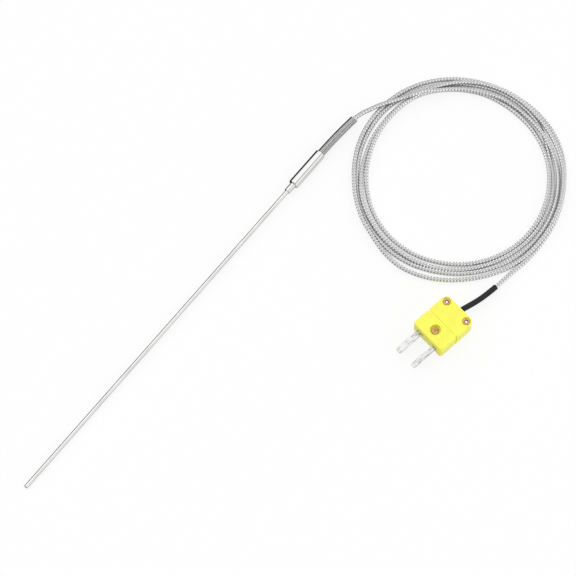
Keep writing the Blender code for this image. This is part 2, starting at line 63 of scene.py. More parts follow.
# Stations along the probe from its tip, and its radii, in mm.
SHEATH_RADIUS = 0.75
SHEATH_END = 159.5
NECK_START = 150.0
BODY_START = 153.6
SHOULDER = 0.5
SLEEVE_RADIUS = 2.0
SLEEVE_END = 169.8
LEAD_START = 163.05
LEAD_GRIPPED = 166.8

# The probe's axis starts at the tip and rises, so that tip and sleeve both touch the floor.
PROBE_START = Vector((-94.8, 0.0, SHEATH_RADIUS)) * MM
PROBE_TILT = math.asin((SLEEVE_RADIUS - SHEATH_RADIUS) / (BODY_START + SHOULDER))
PROBE_FRAME = Matrix.Translation(PROBE_START) @ Matrix.Rotation(-PROBE_TILT, 4, "Y")
SPRING_EXPOSED = 19.8 * MM
SPRING_SAG = 0.95 * MM

# The plug's own axes: +X is the way that the pins point.
PLUG_HEADING = math.radians(172.0)
PLUG_FRAME = Matrix.Translation((50.72 * MM, -78.96 * MM, 0.0)) @ Matrix.Rotation(
    PLUG_HEADING, 4, "Z"
)
PLUG_THICKNESS = 7.0
PLUG_MIDDLE = PLUG_THICKNESS / 2 * MM
SOFT_EDGE = 0.12 * MM

# Stations of the coiled lead, turn by turn: angle round the coil's centre, radius and height in mm.
COIL_CENTRE = Vector((100.4, -45.8, 0.0)) * MM
COIL_TURNS = (
    # First turn: in over the bundle, along its inside, then outwards again over the second.
    (83, 40.8, 2.5), (79.5, 39.7, 2.6), (75.5, 38.7, 2.6), (70.5, 37.7, 3.0), (66, 37.0, 3.8),
    (60, 36.65, 4.0), (55, 36.3, 3.5), (50, 36.0, 2.6), (45, 35.95, 2.4), (40, 35.9, 2.35),
    (25, 36.0, 2.3), (10, 36.5, 1.75), (0, 36.5, 1.3), (-10, 36.6, 1.5), (-18, 36.75, 2.1),
    (-28, 37.1, 2.35), (-38, 37.5, 1.9), (-46, 37.85, 1.3), (-60, 37.95, 0.8), (-75, 37.9, 0.8),
    (-90, 37.9, 0.8), (-100, 37.95, 0.8), (-110, 37.95, 0.8), (-125, 37.85, 0.8), (-140, 38.0, 0.8),
    (-150, 38.15, 0.8), (-160, 38.4, 0.8), (-170, 38.65, 0.8), (180, 38.7, 0.8), (170, 38.45, 0.8),
    (160, 38.25, 0.8), (145, 38.0, 0.8), (130, 37.9, 0.8), (115, 38.1, 0.8), (100, 38.4, 0.8),
    # Second turn: in the middle of the bundle, then to its inside and up on the third.
    (85, 38.85, 0.8), (70, 38.9, 0.8), (60, 38.7, 0.8), (40, 38.5, 0.8), (20, 38.8, 0.8),
    (10, 38.9, 0.8), (0, 38.7, 0.8), (-15, 38.0, 0.8), (-25, 36.9, 0.8), (-33, 36.15, 0.8),
    (-42, 35.8, 0.8), (-48, 35.85, 0.8), (-60, 36.1, 0.8), (-75, 36.0, 0.8), (-90, 35.95, 0.8),
    (-98, 35.9, 0.8), (-107, 35.85, 0.8), (-118, 35.9, 0.8), (-130, 36.15, 0.8), (-142, 36.5, 0.8),
    (-155, 36.8, 0.8), (-170, 36.95, 1.0), (175, 36.95, 1.35), (160, 36.95, 1.85),
    (145, 36.85, 1.95), (135, 36.55, 1.7), (125, 36.05, 1.0), (115, 35.75, 0.8), (100, 35.8, 0.8),
    # Third turn: the innermost one.
    (85, 36.0, 0.8), (75, 36.35, 0.8), (65, 36.8, 0.8), (55, 36.75, 0.8), (45, 36.45, 0.8),
    (35, 36.15, 0.8), (20, 35.7, 0.8), (10, 35.2, 0.8), (0, 34.85, 0.8), (-15, 34.75, 0.8),
    (-30, 34.65, 1.0), (-45, 34.5, 1.75), (-60, 34.4, 1.85), (-75, 34.35, 1.6), (-90, 34.3, 1.0),
    (-105, 34.25, 0.8), (-125, 34.2, 0.8), (-140, 34.25, 0.8), (-155, 34.35, 0.8),
    (-170, 34.55, 0.8), (170, 34.6, 0.8), (150, 34.5, 0.8), (135, 34.35, 0.9), (125, 34.35, 1.7),
    (115, 34.35, 1.95), (105, 34.5, 2.05),
    # Fourth turn: outwards over the third, and round the lone loop at the plug's side.
    (92, 34.95, 2.2), (80, 35.5, 2.3), (70, 36.05, 2.3), (62, 36.65, 2.3), (55, 37.35, 2.25),
    (45, 38.2, 2.3), (35, 38.85, 2.35), (25, 39.3, 2.3), (10, 39.4, 2.2), (0, 39.35, 2.1),
    (-15, 39.3, 2.05), (-30, 39.5, 2.1), (-45, 39.85, 2.2), (-60, 39.75, 2.2), (-75, 39.65, 2.1),
    (-90, 39.65, 1.8), (-100, 39.85, 1.4), (-110, 40.05, 1.0), (-120, 40.1, 0.8),
    (-130, 40.2, 0.8), (-140, 40.5, 0.8), (-150, 41.0, 0.8), (-160, 41.4, 0.8), (-170, 41.5, 0.8),
    (-176, 41.3, 0.8), (180, 41.0, 0.85), (175, 40.6, 1.15), (170, 40.1, 1.5), (165, 39.75, 1.8),
    (155, 39.5, 1.85), (140, 39.1, 1.95), (130, 39.0, 2.0), (120, 39.2, 1.85), (110, 39.5, 1.7),
    (100, 39.8, 1.6),
    # Last half turn: the outermost one, which leaves for the plug.
    (90, 40.1, 1.35), (80, 40.5, 0.9), (70, 40.75, 0.8), (60, 40.85, 0.8), (50, 40.8, 0.8),
    (40, 40.65, 0.8), (30, 40.4, 0.8), (20, 40.3, 0.8), (10, 40.25, 0.8), (0, 40.35, 0.8),
    (-10, 40.65, 0.8), (-20, 40.85, 0.8), (-30, 40.9, 0.8), (-38, 40.75, 0.8), (-45, 40.45, 0.8),
    (-52, 40.2, 0.8), (-60, 40.05, 0.8), (-75, 40.05, 0.8), (-85, 40.2, 0.8), (-92, 40.5, 0.8),
    (-98, 40.9, 0.8), (-104, 41.45, 0.9), (-110, 42.15, 1.0),
)
# The lead's uncoiled points, in mm, and its stations on the plug's own axis.
LEAD_IN = ((97.8, -1.75, 2.3), (100.55, -2.95, 2.3), (103.1, -4.1, 2.4))
LEAD_OUT = (
    (84.05, -85.05, 1.1), (80.65, -84.7, 1.4), (76.6, -84.25, 1.8), (72.4, -83.65, 2.2),
    (68.25, -82.85, 2.5), (64.35, -81.75, 2.8),
)
PLUG_ENTRY = (-8.8, -7.5, -5.6)
ROUTE_STEPS = 12
ROUTE_SPACING = 0.4 * MM
ROUTE_KEPT = 4

FLOOR_HALF = 3.0
FLOOR_DROP = 0.0002
# Light from the studio, by angle in degrees over the probe from the far side to the near one.
STUDIO = (
    (0.0, 0.01), (12.0, 0.01), (22.0, 1.0), (110.0, 1.0), (115.0, 0.38), (127.0, 0.38), (133.0, 0.95),
    (180.0, 0.8),
)
STUDIO_STRENGTH = 1.33


def linear(code):
    """Turns an sRGB hex code into linear red, green and blue."""
    channels = [int(code[i : i + 2], 16) / 255 for i in (1, 3, 5)]
    return tuple(c / 12.92 if c <= 0.04045 else ((c + 0.055) / 1.055) ** 2.4 for c in channels)


class ProbeSizes(bpy.types.PropertyGroup):
    """Sizes that a user may want to change."""

    cable_diameter: FloatProperty(
        name="Lead diameter", description="Over the braid", default=1.6 * MM, unit="LENGTH"
    )
    braid_lay: FloatProperty(
        name="Braid lay", description="Length of one turn of a carrier", default=4.8 * MM, unit="LENGTH"
    )
    braid_carriers: IntProperty(
        name="Braid carriers", description="Bundles of wire that run each way", default=4
    )
    spring_diameter: FloatProperty(
        name="Spring diameter", description="Outside the wire", default=3.1 * MM, unit="LENGTH"
    )
    spring_wire: FloatProperty(
        name="Spring wire", description="Diameter of the wire", default=0.5 * MM, unit="LENGTH"
    )
    spring_pitch: FloatProperty(
        name="Spring pitch", description="From turn to turn", default=0.56 * MM, unit="LENGTH"
    )


class ProbeColours(bpy.types.PropertyGroup):
    """Colours that a user may want to change, as linear values."""

    nylon: FloatVectorProperty(
        name="Plug", description="Colour code of the plug's halves", subtype="COLOR", size=3,
        default=linear("#FCF85A"), min=0.0, max=1.0,
    )
    steel: FloatVectorProperty(
        name="Steel", description="Sheath, sleeve and pins", subtype="COLOR", size=3,
        default=linear("#E0E0DF"), min=0.0, max=1.0,
    )
    shrink: FloatVectorProperty(
        name="Heat shrink", description="Sleeve at the plug", subtype="COLOR", size=3,
        default=linear("#141415"), min=0.0, max=1.0,
    )


def add(tree, kind, inputs=None, stops=(), keep=None, **settings):
    """Adds a node with settings, stops and inputs, and gives its first or its named output."""
    node = tree.nodes.new(kind)
    for key, value in settings.items():
        setattr(node, key, value)
    for index, (place, colour) in enumerate(stops):
        marks = node.color_ramp.elements
        mark = marks[index] if index < 2 else marks.new(place)
        mark.position = place
        mark.color = (*colour, 1.0)
    shown = {socket.name: socket for socket in reversed(node.inputs) if socket.enabled}
    for key, value in (inputs or {}).items():
        socket = node.inputs[key] if isinstance(key, int) else shown[key]
        if isinstance(value, bpy.types.NodeSocket):
            tree.links.new(value, socket)
        else:
            socket.default_value = value
    if keep == "node" or not node.outputs:
        return node
    given = [socket for socket in node.outputs if socket.enabled]
    return next(socket for socket in given if keep in (None, socket.name))


def new_material(name):
    """An empty material and its node tree."""
    made = bpy.data.materials.new(name)
    made.use_nodes = True
    made.node_tree.nodes.clear()
    return made, made.node_tree


def bright_drawn_steel(colour):
    """Austenitic stainless steel, drawn and bright annealed: long faint draw lines, a soft mirror."""
    made, tree = new_material("bright_drawn_stainless_steel")
    place = add(tree, "ShaderNodeTexCoord", keep="Object")
    # Real draw lines are finer than a pixel, so these are a quarter of a millimetre wide.
    lines = add(
        tree, "ShaderNodeMapping", {"Vector": place, "Scale": (40 * MM, 0.25 * MM, 0.25 * MM)},
        vector_type="TEXTURE",
    )
    lines = add(
        tree, "ShaderNodeTexNoise", {"Vector": lines, "Scale": 1.0, "Detail": 3.0, "Roughness": 0.6}
    )
    patches = add(
        tree, "ShaderNodeMapping", {"Vector": place, "Scale": (8 * MM, 2 * MM, 2 * MM)},
        vector_type="TEXTURE",
    )
    patches = add(tree, "ShaderNodeTexNoise", {"Vector": patches, "Scale": 1.0, "Detail": 2.0})
    dark = tuple(c * 0.88 for c in colour)
    tone = add(tree, "ShaderNodeValToRGB", {"Fac": patches}, ((0.35, dark), (0.65, colour)))
    rough = add(
        tree, "ShaderNodeMapRange",
        {"Value": lines, "From Min": 0.3, "From Max": 0.7, "To Min": 0.1, "To Max": 0.17},
    )
    relief = add(tree, "ShaderNodeBump", {"Height": lines, "Distance": 0.01 * MM, "Strength": 0.25})
    shader = add(
        tree, "ShaderNodeBsdfPrincipled",
        {"Base Color": tone, "Metallic": 1.0, "Roughness": rough, "Normal": relief},
    )
    add(tree, "ShaderNodeOutputMaterial", {"Surface": shader})
    return made


def turned_steel(colour):
    """Stainless steel turned on a lathe and polished: fine rings round the piece."""
    made, tree = new_material("turned_polished_stainless_steel")
    place = add(tree, "ShaderNodeTexCoord", keep="Object")
    # The tool's feed is 0.05 mm; the rings are drawn 0.17 mm apart so that they show.
    rings = add(
        tree, "ShaderNodeMapping", {"Vector": place, "Scale": (0.17 * MM, 16 * MM, 16 * MM)},
        vector_type="TEXTURE",
    )
    rings = add(
        tree, "ShaderNodeTexNoise", {"Vector": rings, "Scale": 1.0, "Detail": 2.0, "Roughness": 0.7}
    )
    dark = tuple(c * 0.9 for c in colour)
    tone = add(tree, "ShaderNodeValToRGB", {"Fac": rings}, ((0.35, dark), (0.65, colour)))
    rough = add(
        tree, "ShaderNodeMapRange",
        {"Value": rings, "From Min": 0.3, "From Max": 0.7, "To Min": 0.06, "To Max": 0.12},
    )
    relief = add(tree, "ShaderNodeBump", {"Height": rings, "Distance": 0.006 * MM, "Strength": 0.3})
    shader = add(
        tree, "ShaderNodeBsdfPrincipled",
        {"Base Color": tone, "Metallic": 1.0, "Roughness": rough, "Normal": relief},
    )
    add(tree, "ShaderNodeOutputMaterial", {"Surface": shader})
    return made


def stamped_plate(colour):
    """Nickel-plated pins, stamped from strip: satin, with rolling lines and grey specks of wear."""
    made, tree = new_material("stamped_nickel_plate")
    place = add(tree, "ShaderNodeTexCoord", keep="Object")
    turn = (0.0, 0.0, PLUG_HEADING)
    # Rolling lines are drawn 0.2 mm apart, coarser than real ones, so that they show.
    lines = add(
        tree, "ShaderNodeMapping",
        {"Vector": place, "Rotation": turn, "Scale": (6 * MM, 0.2 * MM, 0.2 * MM)},
        vector_type="TEXTURE",
    )
    lines = add(
        tree, "ShaderNodeTexNoise", {"Vector": lines, "Scale": 1.0, "Detail": 3.0, "Roughness": 0.6}
    )
    specks = add(
        tree, "ShaderNodeMapping",
        {"Vector": place, "Rotation": turn, "Scale": (2.5 * MM, 0.45 * MM, 0.45 * MM)},
        vector_type="TEXTURE",
    )
    specks = add(
        tree, "ShaderNodeTexNoise", {"Vector": specks, "Scale": 1.0, "Detail": 3.0, "Roughness": 0.7}
    )
    worn, even = tuple(c * 0.4 for c in colour), tuple(c * 0.85 for c in colour)
    tone = add(
        tree, "ShaderNodeValToRGB", {"Fac": specks}, ((0.36, worn), (0.5, even), (0.7, colour))
    )
    rough = add(
        tree, "ShaderNodeMapRange",
        {"Value": lines, "From Min": 0.3, "From Max": 0.7, "To Min": 0.2, "To Max": 0.34},
    )
    relief = add(tree, "ShaderNodeBump", {"Height": lines, "Distance": 0.02 * MM, "Strength": 0.4})
    shader = add(
        tree, "ShaderNodeBsdfPrincipled",
        {"Base Color": tone, "Metallic": 1.0, "Roughness": rough, "Normal": relief},
    )
    add(tree, "ShaderNodeOutputMaterial", {"Surface": shader})
    return made


def spring_steel():
    """Hard-drawn spring wire: bright along its crests, with a faint grey film from the drawing."""
    made, tree = new_material("hard_drawn_spring_wire")
    place = add(tree, "ShaderNodeTexCoord", keep="Object")
    film = add(
        tree, "ShaderNodeMapping", {"Vector": place, "Scale": (0.4 * MM, 0.4 * MM, 0.4 * MM)},
        vector_type="TEXTURE",
    )
    film = add(tree, "ShaderNodeTexNoise", {"Vector": film, "Scale": 1.0, "Detail": 3.0})
    stops = ((0.3, linear("#ABABAA")), (0.7, linear("#E0E0DF")))
    tone = add(tree, "ShaderNodeValToRGB", {"Fac": film}, stops)
    relief = add(tree, "ShaderNodeBump", {"Height": film, "Distance": 0.008 * MM, "Strength": 0.3})
    shader = add(
        tree, "ShaderNodeBsdfPrincipled",
        {"Base Color": tone, "Metallic": 1.0, "Roughness": 0.2, "Normal": relief},
    )
    add(tree, "ShaderNodeOutputMaterial", {"Surface": shader})
    return made


def woven_braid(lay, carriers):
    """Stainless braid over the lead: bundles of fine wires that pass over and under each other, with
    painted shade in the gaps between them and a painted highlight along each.
    """
    made, tree = new_material("woven_braid_painted_light")
    # Real bundles are about a third of a millimetre wide; these are 0.9 mm, so that they show.
    along = add(tree, "ShaderNodeAttribute", keep="Fac", attribute_name="along")
    ring = add(tree, "ShaderNodeAttribute", keep="Vector", attribute_name="ring")
    ring = add(tree, "ShaderNodeSeparateXYZ", {"Vector": ring}, keep="node").outputs
    angle = add(tree, "ShaderNodeMath", {0: ring["Y"], 1: ring["X"]}, operation="ARCTAN2")
    around = add(tree, "ShaderNodeMath", {0: angle, 1: carriers / math.tau}, operation="MULTIPLY")
    slant = add(tree, "ShaderNodeMath", {0: along, 1: carriers / lay}, operation="MULTIPLY")
    cells, places = [], []
    for way in ("ADD", "SUBTRACT"):
        phase = add(tree, "ShaderNodeMath", {0: around, 1: slant}, operation=way)
        cells.append(add(tree, "ShaderNodeMath", {0: phase}, operation="FLOOR"))
        places.append(add(tree, "ShaderNodeMath", {0: phase}, operation="FRACT"))
    # Where the sum of both counts is odd, the second set of bundles lies on top.
    both = add(tree, "ShaderNodeMath", {0: cells[0], 1: cells[1]}, operation="ADD")
    half = add(tree, "ShaderNodeMath", {0: both, 1: 0.5}, operation="MULTIPLY")
    half = add(tree, "ShaderNodeMath", {0: half}, operation="FRACT")
    swap = add(tree, "ShaderNodeMath", {0: half, 1: 0.25}, operation="GREATER_THAN")
    across = add(tree, "ShaderNodeMix", {"Factor": swap, "A": places[0], "B": places[1]})
    # A bundle is round across, so it is high in its middle and falls into a gap at both sides.
    arch = add(tree, "ShaderNodeMath", {0: across, 1: math.pi}, operation="MULTIPLY")
    arch = add(tree, "ShaderNodeMath", {0: arch}, operation="SINE")
    # Each bundle holds five wires side by side.
    wires = add(tree, "ShaderNodeMath", {0: across, 1: 5.0 * math.tau}, operation="MULTIPLY")
    wires = add(tree, "ShaderNodeMath", {0: wires}, operation="COSINE")
    wires = add(tree, "ShaderNodeMath", {0: wires, 1: 0.12}, operation="MULTIPLY")
    height = add(tree, "ShaderNodeMath", {0: arch, 1: wires}, operation="ADD")
    # The tone is painted light: dark in the gaps between bundles as painted shade, near white along each
    # crest as a painted highlight.
    stops = ((0.05, linear("#303031")), (0.3, linear("#CBCBCB")), (0.6, linear("#F8F8F8")))
    painted_gap_shade_crest_highlight = add(tree, "ShaderNodeValToRGB", {"Fac": arch}, stops)
    # The two sets of bundles face the light differently, so the second one is painted duller: painted
    # shade.
    painted_set_shade = add(tree, "ShaderNodeMapRange", {"Value": swap, "To Min": 1.0, "To Max": 0.55})
    tone = add(
        tree, "ShaderNodeMix", {"Factor": 1.0, "A": painted_gap_shade_crest_highlight, "B": painted_set_shade},
        data_type="RGBA", blend_type="MULTIPLY",
    )
    relief = add(tree, "ShaderNodeBump", {"Height": height, "Distance": 0.06 * MM, "Strength": 0.6})
    shader = add(
        tree, "ShaderNodeBsdfPrincipled",
        {"Base Color": tone, "Metallic": 1.0, "Roughness": 0.36, "Normal": relief},
    )
    add(tree, "ShaderNodeOutputMaterial", {"Surface": shader})
    return made


def shrink_sleeve(colour):
    """Polyolefin heat shrink, drawn down over the braid: matt black with soft dents."""
    made, tree = new_material("black_polyolefin_heat_shrink")
    place = add(tree, "ShaderNodeTexCoord", keep="Object")
    dents = add(
        tree, "ShaderNodeMapping", {"Vector": place, "Scale": (1.1 * MM, 1.1 * MM, 1.1 * MM)},
        vector_type="TEXTURE",
    )
    dents = add(tree, "ShaderNodeTexNoise", {"Vector": dents, "Scale": 1.0, "Detail": 3.0})
    pale = tuple(c * 1.8 for c in colour)
    tone = add(tree, "ShaderNodeValToRGB", {"Fac": dents}, ((0.35, colour), (0.75, pale)))
    relief = add(tree, "ShaderNodeBump", {"Height": dents, "Distance": 0.06 * MM, "Strength": 0.4})
    shader = add(
        tree, "ShaderNodeBsdfPrincipled",
        {
            "Base Color": tone, "Roughness": 0.5, "IOR": 1.5, "Specular IOR Level": 0.3,
            "Normal": relief,
        },
    )
    add(tree, "ShaderNodeOutputMaterial", {"Surface": shader})
    return made


def moulded_nylon(colour):
    """Glass-filled nylon, moulded with a fine spark-eroded texture: satin, with a faint mottle."""
    made, tree = new_material("yellow_glass_filled_nylon")
    place = add(tree, "ShaderNodeTexCoord", keep="Object")
    grain = add(
        tree, "ShaderNodeMapping", {"Vector": place, "Scale": (0.2 * MM, 0.2 * MM, 0.2 * MM)},
        vector_type="TEXTURE",
    )
    grain = add(tree, "ShaderNodeTexNoise", {"Vector": grain, "Scale": 1.0, "Detail": 2.0})
    mottle = add(
        tree, "ShaderNodeMapping", {"Vector": place, "Scale": (4 * MM, 4 * MM, 4 * MM)},
        vector_type="TEXTURE",
    )
    mottle = add(tree, "ShaderNodeTexNoise", {"Vector": mottle, "Scale": 1.0, "Detail": 4.0})
    dark = tuple(c * 0.93 for c in colour)
    tone = add(tree, "ShaderNodeValToRGB", {"Fac": mottle}, ((0.35, dark), (0.65, colour)))
    relief = add(tree, "ShaderNodeBump", {"Height": grain, "Distance": 0.02 * MM, "Strength": 0.35})
    shader = add(
        tree, "ShaderNodeBsdfPrincipled",
        {
            "Base Color": tone, "Roughness": 0.42, "IOR": 1.52, "Normal": relief,
            "Subsurface Weight": 0.5, "Subsurface Radius": (1.0, 0.8, 0.15),
            "Subsurface Scale": 1.2 * MM,
        },
    )
    add(tree, "ShaderNodeOutputMaterial", {"Surface": shader})
    return made


def headed_metal(name, pale, deep, rough):
    """Rivet and crimp metal, headed or pressed cold: smooth, with a light stain of tarnish."""
    made, tree = new_material(name)
    place = add(tree, "ShaderNodeTexCoord", keep="Object")
    stain = add(
        tree, "ShaderNodeMapping", {"Vector": place, "Scale": (1.1 * MM, 1.1 * MM, 1.1 * MM)},
        vector_type="TEXTURE",
    )
    stain = add(tree, "ShaderNodeTexNoise", {"Vector": stain, "Scale": 1.0, "Detail": 4.0})
    stops = ((0.3, linear(deep)), (0.7, linear(pale)))
    tone = add(tree, "ShaderNodeValToRGB", {"Fac": stain}, stops)
    relief = add(tree, "ShaderNodeBump", {"Height": stain, "Distance": 0.02 * MM, "Strength": 0.3})
    shader = add(
        tree, "ShaderNodeBsdfPrincipled",
        {"Base Color": tone, "Metallic": 1.0, "Roughness": rough, "Normal": relief},
    )
    add(tree, "ShaderNodeOutputMaterial", {"Surface": shader})
    return made


def packed_oxide():
    """Compacted magnesium oxide powder: chalky and grainy."""
    made, tree = new_material("packed_magnesium_oxide")
    place = add(tree, "ShaderNodeTexCoord", keep="Object")
    grain = add(
        tree, "ShaderNodeMapping", {"Vector": place, "Scale": (0.17 * MM, 0.17 * MM, 0.17 * MM)},
        vector_type="TEXTURE",
    )
    grain = add(tree, "ShaderNodeTexNoise", {"Vector": grain, "Scale": 1.0, "Detail": 4.0})
    stops = ((0.3, linear("#D9D6CC")), (0.7, linear("#F1EFE8")))
    tone = add(tree, "ShaderNodeValToRGB", {"Fac": grain}, stops)
    relief = add(tree, "ShaderNodeBump", {"Height": grain, "Distance": 0.02 * MM, "Strength": 0.5})
    shader = add(
        tree, "ShaderNodeBsdfPrincipled",
        {"Base Color": tone, "Roughness": 0.9, "IOR": 1.73, "Normal": relief},
    )
    add(tree, "ShaderNodeOutputMaterial", {"Surface": shader})
    return made


def cast_resin():
    """Epoxy potting resin, cast: amber brown with small bubbles."""
    made, tree = new_material("cast_epoxy_resin")
    place = add(tree, "ShaderNodeTexCoord", keep="Object")
    bubbles = add(
        tree, "ShaderNodeMapping", {"Vector": place, "Scale": (0.45 * MM, 0.45 * MM, 0.45 * MM)},
        vector_type="TEXTURE",
    )
    bubbles = add(tree, "ShaderNodeTexVoronoi", {"Vector": bubbles, "Scale": 1.0})
    stops = ((0.05, linear("#B79A66")), (0.4, linear("#8A6E43")))
    tone = add(tree, "ShaderNodeValToRGB", {"Fac": bubbles}, stops)
    shader = add(
        tree, "ShaderNodeBsdfPrincipled", {"Base Color": tone, "Roughness": 0.3, "IOR": 1.55}
    )
    add(tree, "ShaderNodeOutputMaterial", {"Surface": shader})
    return made


def nickel_alloy():
    """Nickel alloy thermocouple wire, drawn and annealed: greyish with a warm oxide tint."""
    made, tree = new_material("annealed_nickel_alloy")
    place = add(tree, "ShaderNodeTexCoord", keep="Object")
    tint = add(
        tree, "ShaderNodeMapping", {"Vector": place, "Scale": (1.4 * MM, 0.3 * MM, 0.3 * MM)},
        vector_type="TEXTURE",
    )
    tint = add(tree, "ShaderNodeTexNoise", {"Vector": tint, "Scale": 1.0, "Detail": 3.0})
    stops = ((0.3, linear("#9A9188")), (0.7, linear("#C0B8AE")))
    tone = add(tree, "ShaderNodeValToRGB", {"Fac": tint}, stops)
    shader = add(
        tree, "ShaderNodeBsdfPrincipled", {"Base Color": tone, "Metallic": 1.0, "Roughness": 0.35}
    )
    add(tree, "ShaderNodeOutputMaterial", {"Surface": shader})
    return made


def glass_wrap():
    """Woven glass-fibre insulation on the lead's two cores: slanting yarns, matt."""
    made, tree = new_material("woven_glass_fibre")
    place = add(tree, "ShaderNodeTexCoord", keep="Object")
    yarn = add(
        tree, "ShaderNodeMapping",
        {"Vector": place, "Rotation": (0.0, 0.0, math.radians(38.0)), "Scale": (MM, MM, MM)},
        vector_type="TEXTURE",
    )
    yarn = add(
        tree, "ShaderNodeTexWave", {"Vector": yarn, "Scale": 0.9, "Distortion": 2.0, "Detail": 2.0},
        keep="Fac",
    )
    stops = ((0.2, linear("#CFC28C")), (0.8, linear("#EFE7C2")))
    tone = add(tree, "ShaderNodeValToRGB", {"Fac": yarn}, stops)
    relief = add(tree, "ShaderNodeBump", {"Height": yarn, "Distance": 0.03 * MM, "Strength": 0.5})
    shader = add(
        tree, "ShaderNodeBsdfPrincipled",
        {"Base Color": tone, "Roughness": 0.8, "IOR": 1.5, "Normal": relief},
    )
    add(tree, "ShaderNodeOutputMaterial", {"Surface": shader})
    return made


def white_table():
    """A plain white table that looks white, apart from the object's faint shadow on it and a painted dark
    reflection that metal sees in it.
    """
    made, tree = new_material("plain_white_table")
    matt = add(
        tree, "ShaderNodeBsdfPrincipled",
        {"Base Color": (*linear("#F4F4F4"), 1.0), "Roughness": 0.95, "Specular IOR Level": 0.0},
    )
    rays = add(tree, "ShaderNodeLightPath", keep="node").outputs
    seen = rays["Is Camera Ray"]
    for name in ("Is Glossy Ray", "Is Transmission Ray"):
        seen = add(tree, "ShaderNodeMath", {0: seen, 1: rays[name]}, operation="MAXIMUM")
    # A slit narrower than about half a millimetre, as between two turns of the lead, stays dark.
    sky = add(tree, "ShaderNodeAmbientOcclusion", {"Distance": 3 * MM}, keep="AO", samples=8)
    slit = add(tree, "ShaderNodeMapRange", {"Value": sky, "From Min": 0.1, "From Max": 0.38})
    share = add(tree, "ShaderNodeMath", {0: seen, 1: slit}, operation="MULTIPLY")
    share = add(tree, "ShaderNodeMath", {0: share, 1: 0.82}, operation="MULTIPLY")
    # Metal sees the table darken across the probe's line: a painted dark reflection, which draws the
    # steel's edges.
    place = add(tree, "ShaderNodeTexCoord", keep="Object")
    painted_reflection_mask = add(tree, "ShaderNodeSeparateXYZ", {"Vector": place}, keep="node").outputs["Y"]
    painted_reflection_mask = add(tree, "ShaderNodeMapRange", {"Value": painted_reflection_mask, "From Min": -6 * MM, "From Max": 1.5 * MM})
    dark = add(
        tree, "ShaderNodeMath", {0: painted_reflection_mask, 1: rays["Is Glossy Ray"]}, operation="MULTIPLY"
    )
    share = add(tree, "ShaderNodeMath", {0: share, 1: dark}, operation="MAXIMUM")
    level = add(tree, "ShaderNodeMath", {0: dark, 1: -0.97, 2: 1.0}, operation="MULTIPLY_ADD")
    glow = add(tree, "ShaderNodeEmission", {"Color": (1.0, 1.0, 1.0, 1.0), "Strength": level})
    mixed = add(tree, "ShaderNodeMixShader", {0: share, 1: matt, 2: glow})
    add(tree, "ShaderNodeOutputMaterial", {"Surface": mixed})
    return made


def finish_mesh(name, shape, look, smooth_angle=35.0):
    """Links a bmesh as a piece at the origin, smooth up to an angle."""
    bmesh.ops.recalc_face_normals(shape, faces=shape.faces)
    mesh = bpy.data.meshes.new(name)
    shape.to_mesh(mesh)
    shape.free()
    mesh.shade_smooth()
    mesh.set_sharp_from_angle(angle=math.radians(smooth_angle))
    mesh.materials.append(look)
    made = bpy.data.objects.new(name, mesh)
    bpy.context.scene.collection.objects.link(made)
    return made


def turned(name, outline, look, place, sides=64, upright=False, offset=(0.0, 0.0, 0.0)):
    """Spins the (station, radius) points of a half section round +X, or +Z if upright."""
    shape = bmesh.new()
    section = [shape.verts.new((station, 0.0, -radius)) for station, radius in outline]
    rim = [shape.edges.new(pair) for pair in zip(section, section[1:])]
    if outline[0][1] > 0.0:
        rim.append(shape.edges.new((section[-1], section[0])))
    bmesh.ops.spin(
        shape, geom=section + rim, axis=(1, 0, 0), cent=(0, 0, 0), angle=math.tau, steps=sides
    )
    bmesh.ops.remove_doubles(shape, verts=shape.verts, dist=1e-7)
    if upright:
        shape.transform(Matrix.Rotation(-math.pi / 2, 4, "Y"))
    shape.transform(Matrix.Translation(offset))
    shape.transform(place)
    return finish_mesh(name, shape, look)


def smoothed(name, node, look, bevel=0.0, angle=35.0):
    """A merged and smoothly shaded copy of a CAD node, which it stands for."""
    source = bpy.data.objects.get(node)
    if source is None:
        raise RuntimeError(f"no node {node}")
    shape = bmesh.new()
    shape.from_mesh(source.data)
    bmesh.ops.remove_doubles(shape, verts=shape.verts, dist=1e-6)
    bmesh.ops.dissolve_limit(
        shape, angle_limit=math.radians(0.5), verts=shape.verts, edges=shape.edges
    )
    made = finish_mesh(name, shape, look, angle)
    if bevel:
        edge = made.modifiers.new("edge", "BEVEL")
        edge.width = bevel
        edge.segments = 2
        edge.limit_method = "ANGLE"
        edge.angle_limit = math.radians(40.0)
        edge.harden_normals = True
    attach(made, "root")
    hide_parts(node)
    return made


def arc(centre, radius, start, end, steps):
    """Points on an arc, from one angle in degrees to another."""
    angles = [math.radians(start + (end - start) * step / steps) for step in range(steps + 1)]
    return [
        (centre[0] + radius * math.cos(angle), centre[1] + radius * math.sin(angle))
        for angle in angles
    ]


def spring_axis(distance):
    """The spring's and the lead's centre, by distance from the sleeve's rear face."""
    beyond = max(0.0, distance) / SPRING_EXPOSED
    return PROBE_FRAME @ Vector((SLEEVE_END * MM + distance, -SPRING_SAG * beyond**2, 0.0))


def smooth(points, steps):
    """A smooth line through points that may be unevenly spaced."""
    points = [Vector(point) for point in points]

    def tangent(before, here, after):
        first, second = (here - before).length, (after - here).length
        if first < 1e-9:
            return (after - here) / second
        if second < 1e-9:
            return (here - before) / first
        return ((here - before) / first * second + (after - here) / second * first) / (first + second)

    line = [points[0]]
    for index in range(len(points) - 1):
        here, there = points[index], points[index + 1]
        span = (there - here).length
        leave = tangent(points[max(index - 1, 0)], here, there) * span
        arrive = tangent(here, there, points[min(index + 2, len(points) - 1)]) * span
        for step in range(1, steps + 1):
            t = step / steps
            line.append(
                (2 * t**3 - 3 * t**2 + 1) * here
                + (t**3 - 2 * t**2 + t) * leave
                + (3 * t**2 - 2 * t**3) * there
                + (t**3 - t**2) * arrive
            )
    return line


